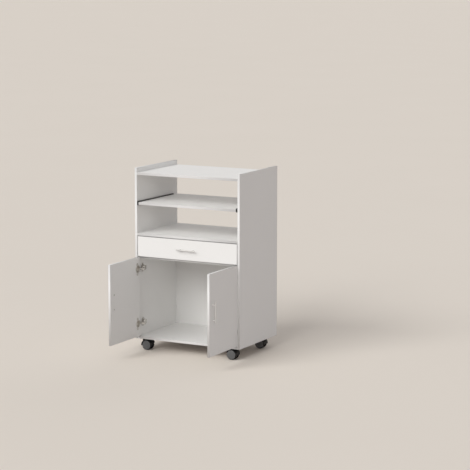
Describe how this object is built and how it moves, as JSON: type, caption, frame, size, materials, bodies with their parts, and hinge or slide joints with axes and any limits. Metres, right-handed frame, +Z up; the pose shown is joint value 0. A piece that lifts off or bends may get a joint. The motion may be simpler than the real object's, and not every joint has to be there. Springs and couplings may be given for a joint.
{
  "type": "microwave cart",
  "caption": "Rolling cart with a lipped top, a pull-out shelf, an open bay, a drawer and a two-door cabinet on twin-wheel swivel casters.",
  "frame": {"origin": "on the floor under the middle of the carcass", "axes": "+X to the right seen from the front, +Y to the back, +Z up"},
  "size_m": [0.599, 0.678, 0.92],
  "materials": {
    "white_board": "satin",
    "back_board": "matte",
    "bare_wood": "matte",
    "black_slide": "satin",
    "zinc_steel": "satin",
    "satin_nickel": "satin",
    "hinge_nickel": "satin",
    "black_plastic": "matte",
    "grey_plastic": "satin"
  },
  "bodies": {
    "carcass": {"left_side_panel": "white_board", "right_side_panel": "white_board", "top_board": "white_board", "drawer_deck": "white_board", "cabinet_deck": "white_board", "bottom_board": "white_board", "back_panel": "back_board", "cam_locks": "zinc_steel", "cam_bolts": "zinc_steel", "dowels": "bare_wood", "carcass_rail_screws": "zinc_steel", "shelf_fixed_rails": "black_slide", "drawer_fixed_rails": "black_slide", "hinge_arms": "hinge_nickel", "hinge_plates": "hinge_nickel", "hinge_screws": "zinc_steel", "caster_plates": "zinc_steel", "caster_screws": "zinc_steel"},
    "shelf": {"shelf_board": "white_board", "shelf_moving_rails": "black_slide", "shelf_rail_screws": "zinc_steel"},
    "shelf_cages": {"shelf_ball_cages": "zinc_steel"},
    "drawer": {"drawer_front": "white_board", "drawer_left_side": "white_board", "drawer_right_side": "white_board", "drawer_back": "white_board", "drawer_bottom": "back_board", "drawer_fasteners": "zinc_steel", "drawer_moving_rails": "black_slide", "drawer_rail_screws": "zinc_steel", "drawer_handle": "satin_nickel", "drawer_handle_screws": "zinc_steel"},
    "drawer_cages": {"drawer_ball_cages": "zinc_steel"},
    "left_door": {"left_door": "white_board", "left_door_handle": "satin_nickel", "left_handle_screws": "zinc_steel", "left_hinge_cups": "hinge_nickel", "left_cup_screws": "zinc_steel"},
    "right_door": {"right_door": "white_board", "right_door_handle": "satin_nickel", "right_handle_screws": "zinc_steel", "right_hinge_cups": "hinge_nickel", "right_cup_screws": "zinc_steel"},
    "left_upper_link": {"left_upper_link": "hinge_nickel"},
    "left_lower_link": {"left_lower_link": "hinge_nickel"},
    "right_upper_link": {"right_upper_link": "hinge_nickel"},
    "right_lower_link": {"right_lower_link": "hinge_nickel"},
    "front_left_swivel": {"front_left_hood": "black_plastic"},
    "front_right_swivel": {"front_right_hood": "black_plastic"},
    "rear_left_swivel": {"rear_left_hood": "black_plastic"},
    "rear_right_swivel": {"rear_right_hood": "black_plastic"},
    "front_left_wheel_pair": {"front_left_wheels": "grey_plastic", "front_left_axle": "zinc_steel"},
    "front_right_wheel_pair": {"front_right_wheels": "grey_plastic", "front_right_axle": "zinc_steel"},
    "rear_left_wheel_pair": {"rear_left_wheels": "grey_plastic", "rear_left_axle": "zinc_steel"},
    "rear_right_wheel_pair": {"rear_right_wheels": "grey_plastic", "rear_right_axle": "zinc_steel"}
  },
  "joints": [
    {"name": "shelf_slide", "type": "slide", "parent": "carcass", "child": "shelf", "axis": [0, -1, 0], "range_m": [0, 0.23]},
    {"name": "shelf_cage_slide", "type": "slide", "parent": "carcass", "child": "shelf_cages", "axis": [0, -1, 0], "range_m": [0, 0.115]},
    {"name": "drawer_slide", "type": "slide", "parent": "carcass", "child": "drawer", "axis": [0, -1, 0], "range_m": [0, 0.19]},
    {"name": "drawer_cage_slide", "type": "slide", "parent": "carcass", "child": "drawer_cages", "axis": [0, -1, 0], "range_m": [0, 0.095]},
    {"name": "left_door_hinge", "type": "hinge", "parent": "carcass", "child": "left_door", "pos_m": [-0.28075, -0.19925, 0.273], "axis": [0, 0, -1], "range_deg": [-90, 12]},
    {"name": "right_door_hinge", "type": "hinge", "parent": "carcass", "child": "right_door", "pos_m": [0.28075, -0.19925, 0.273], "axis": [0, 0, 1], "range_deg": [-90, 12]},
    {"name": "left_upper_link_pivot", "type": "hinge", "parent": "carcass", "child": "left_upper_link", "pos_m": [-0.24945, -0.1926, 0.414], "axis": [0, 0, -1], "range_deg": [-8, 45]},
    {"name": "left_lower_link_pivot", "type": "hinge", "parent": "carcass", "child": "left_lower_link", "pos_m": [-0.24945, -0.1926, 0.137], "axis": [0, 0, -1], "range_deg": [-8, 45]},
    {"name": "right_upper_link_pivot", "type": "hinge", "parent": "carcass", "child": "right_upper_link", "pos_m": [0.24945, -0.1926, 0.414], "axis": [0, 0, 1], "range_deg": [-8, 45]},
    {"name": "right_lower_link_pivot", "type": "hinge", "parent": "carcass", "child": "right_lower_link", "pos_m": [0.24945, -0.1926, 0.137], "axis": [0, 0, 1], "range_deg": [-8, 45]},
    {"name": "front_left_swivel_turn", "type": "hinge", "parent": "carcass", "child": "front_left_swivel", "pos_m": [-0.262, -0.17, 0.05], "axis": [0, 0, 1], "continuous": true},
    {"name": "front_left_roll", "type": "hinge", "parent": "front_left_swivel", "child": "front_left_wheel_pair", "pos_m": [-0.242, -0.17, 0.025], "axis": [0, 1, 0], "continuous": true},
    {"name": "front_right_swivel_turn", "type": "hinge", "parent": "carcass", "child": "front_right_swivel", "pos_m": [0.262, -0.17, 0.05], "axis": [0, 0, 1], "continuous": true},
    {"name": "front_right_roll", "type": "hinge", "parent": "front_right_swivel", "child": "front_right_wheel_pair", "pos_m": [0.242, -0.17, 0.025], "axis": [0, 1, 0], "continuous": true},
    {"name": "rear_left_swivel_turn", "type": "hinge", "parent": "carcass", "child": "rear_left_swivel", "pos_m": [-0.262, 0.128, 0.05], "axis": [0, 0, 1], "continuous": true},
    {"name": "rear_left_roll", "type": "hinge", "parent": "rear_left_swivel", "child": "rear_left_wheel_pair", "pos_m": [-0.242, 0.128, 0.025], "axis": [0, 1, 0], "continuous": true},
    {"name": "rear_right_swivel_turn", "type": "hinge", "parent": "carcass", "child": "rear_right_swivel", "pos_m": [0.262, 0.128, 0.05], "axis": [0, 0, 1], "continuous": true},
    {"name": "rear_right_roll", "type": "hinge", "parent": "rear_right_swivel", "child": "rear_right_wheel_pair", "pos_m": [0.242, 0.128, 0.025], "axis": [0, 1, 0], "continuous": true}
  ],
  "couplings": [
    {"joint": "shelf_cage_slide", "follows": "shelf_slide", "ratio": 0.5},
    {"joint": "drawer_cage_slide", "follows": "drawer_slide", "ratio": 0.5},
    {"joint": "left_upper_link_pivot", "follows": "left_door_hinge", "ratio": -0.47916},
    {"joint": "left_lower_link_pivot", "follows": "left_door_hinge", "ratio": -0.47916},
    {"joint": "right_upper_link_pivot", "follows": "right_door_hinge", "ratio": -0.47916},
    {"joint": "right_lower_link_pivot", "follows": "right_door_hinge", "ratio": -0.47916}
  ]
}
